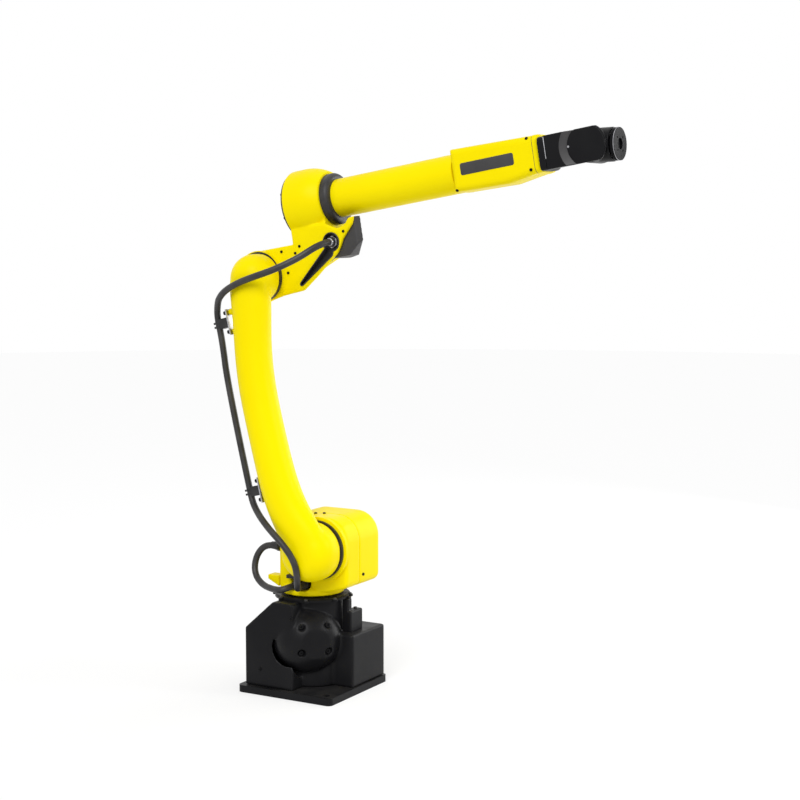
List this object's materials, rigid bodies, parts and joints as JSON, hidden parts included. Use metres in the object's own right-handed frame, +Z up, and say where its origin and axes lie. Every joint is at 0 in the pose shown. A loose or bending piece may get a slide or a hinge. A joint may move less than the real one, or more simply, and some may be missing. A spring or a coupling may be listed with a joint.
{
  "type": "industrial robot arm",
  "caption": "Floor-standing jointed robot arm with a slim hollow forearm, a single-sided wrist and a dress cable clipped along the lower arm, for handling and welding cells.",
  "frame": {"origin": "where the turning axis of the base meets the floor, in the middle of the base flange's underside", "axes": "+X the way the forearm points, +Y away from the lower arm's side, +Z up"},
  "size_m": [1.2497, 0.3924, 1.6909],
  "materials": {
    "yellow_paint": "semi-gloss",
    "black_paint": "semi-gloss",
    "black_rubber": "satin",
    "grey_cover": "satin",
    "black_plastic": "satin",
    "bare_steel": "brushed"
  },
  "bodies": {
    "base": {"base_flange": "black_paint", "base_casting": "black_paint", "neck_ring": "black_paint", "stop_block": "black_paint", "connector_panel": "grey_cover", "connectors": "black_plastic"},
    "swivel": {"swivel_casting": "yellow_paint", "swivel_cover": "yellow_paint", "j2_collar": "yellow_paint", "j2_seal": "black_rubber", "rear_tab": "yellow_paint", "loop_socket": "black_plastic", "cable_outlets": "black_plastic", "loop_cable": "black_rubber", "lower_span_cable": "black_rubber"},
    "lower_arm": {"lower_arm_casting": "yellow_paint", "lower_clip_plate": "bare_steel", "upper_clip_plate": "bare_steel", "lower_clip_block": "black_plastic", "upper_clip_block": "black_plastic", "arm_run_cable": "black_rubber", "upper_span_cable": "black_rubber"},
    "elbow": {"elbow_casting": "yellow_paint", "j3_seal": "black_rubber", "j4_rear_cover": "grey_cover", "j4_ring": "black_rubber", "elbow_motor_cover": "grey_cover", "cable_tray": "black_plastic", "elbow_gland": "black_plastic"},
    "forearm": {"forearm_tube": "yellow_paint", "forearm_cover": "yellow_paint", "wrist_mount": "black_paint", "wrist_fork": "black_paint", "j5_cap": "black_paint"},
    "wrist": {"wrist_body": "black_paint"},
    "tool": {"tool_flange": "black_paint"}
  },
  "joints": [
    {"name": "j1_turn", "type": "hinge", "parent": "base", "child": "swivel", "pos_m": [0, 0, 0.3], "axis": [0, 0, 1], "range_deg": [-170, 170]},
    {"name": "j2_lower_arm", "type": "hinge", "parent": "swivel", "child": "lower_arm", "pos_m": [0.075, 0, 0.45], "axis": [0, 1, 0], "range_deg": [-76, 159], "deforming": ["lower_span_cable"]},
    {"name": "j3_elbow", "type": "hinge", "parent": "lower_arm", "child": "elbow", "pos_m": [-0.12821, 0, 1.26505], "axis": [0, -1, 0], "range_deg": [-30.5, 189.5], "deforming": ["upper_span_cable"]},
    {"name": "j4_forearm_roll", "type": "hinge", "parent": "elbow", "child": "forearm", "pos_m": [-0.1604, 0, 1.45737], "axis": [0.9863, 0, 0.165], "range_deg": [-190, 190]},
    {"name": "j5_wrist_bend", "type": "hinge", "parent": "forearm", "child": "wrist", "pos_m": [0.92451, 0, 1.63893], "axis": [0, 1, 0], "range_deg": [-187, 173]},
    {"name": "j6_tool_roll", "type": "hinge", "parent": "wrist", "child": "tool", "pos_m": [0.92451, 0, 1.63893], "axis": [0.999, 0, 0.0436], "range_deg": [-450, 450]}
  ]
}
